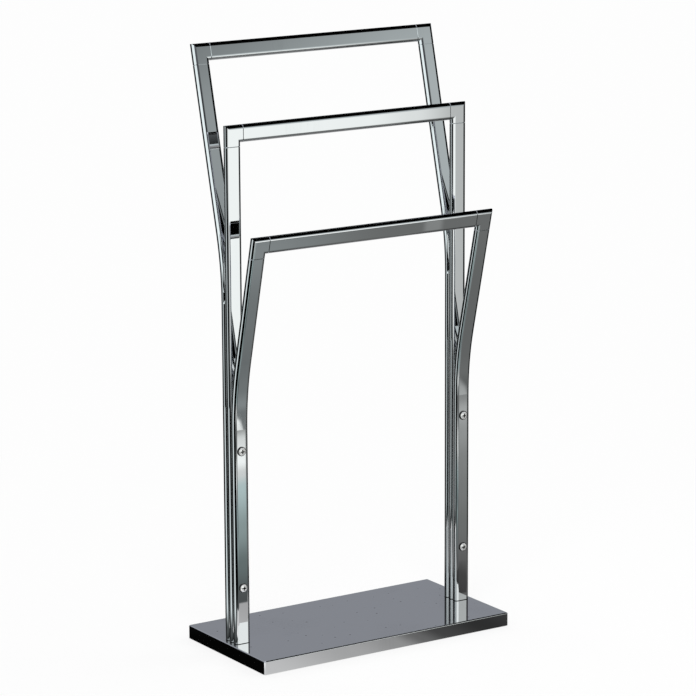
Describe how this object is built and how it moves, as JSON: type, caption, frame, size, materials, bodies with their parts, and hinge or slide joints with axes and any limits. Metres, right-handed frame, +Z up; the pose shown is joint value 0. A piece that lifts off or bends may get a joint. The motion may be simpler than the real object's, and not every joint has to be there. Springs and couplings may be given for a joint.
{
  "type": "freestanding towel stand",
  "caption": "Freestanding towel stand with towel rails at staggered heights on flat-oval tube frames, leaning apart above a weighted rectangular base.",
  "frame": {"origin": "on the floor, under the middle of the base", "axes": "+X along the rails to the right as seen from the front, +Y to the back where the tallest rail is, +Z up"},
  "size_m": [0.42, 0.21, 0.868],
  "materials": {
    "chromed_sheet": "bright mirror chrome plate on pressed steel sheet",
    "chromed_tube": "bright mirror chrome plate on steel tube",
    "chromed_casting": "bright mirror chrome plate on a cast elbow",
    "chromed_screw": "chrome plate on a steel screw",
    "painted_steel": "matt black paint on a cut steel plate",
    "zinc_steel": "dull zinc plate on steel fasteners",
    "plug_aluminium": "plain machined aluminium",
    "rubber_foot": "matt black moulded rubber"
  },
  "bodies": {
    "root": {"base_cover": "chromed_sheet", "ballast_plate": "painted_steel", "foot_front_left": "rubber_foot", "foot_front_right": "rubber_foot", "foot_back_left": "rubber_foot", "foot_back_right": "rubber_foot", "upright_front_left": "chromed_tube", "upright_front_right": "chromed_tube", "upright_middle_left": "chromed_tube", "upright_middle_right": "chromed_tube", "upright_back_left": "chromed_tube", "upright_back_right": "chromed_tube", "rail_front": "chromed_tube", "rail_middle": "chromed_tube", "rail_back": "chromed_tube", "corner_front_left": "chromed_casting", "corner_front_right": "chromed_casting", "corner_middle_left": "chromed_casting", "corner_middle_right": "chromed_casting", "corner_back_left": "chromed_casting", "corner_back_right": "chromed_casting", "plug_front_left": "plug_aluminium", "plug_front_right": "plug_aluminium", "plug_middle_left": "plug_aluminium", "plug_middle_right": "plug_aluminium", "plug_back_left": "plug_aluminium", "plug_back_right": "plug_aluminium", "base_screws": "zinc_steel", "base_washers": "zinc_steel", "clamp_screws": "chromed_screw", "rivet_nuts": "zinc_steel"}
  },
  "joints": []
}
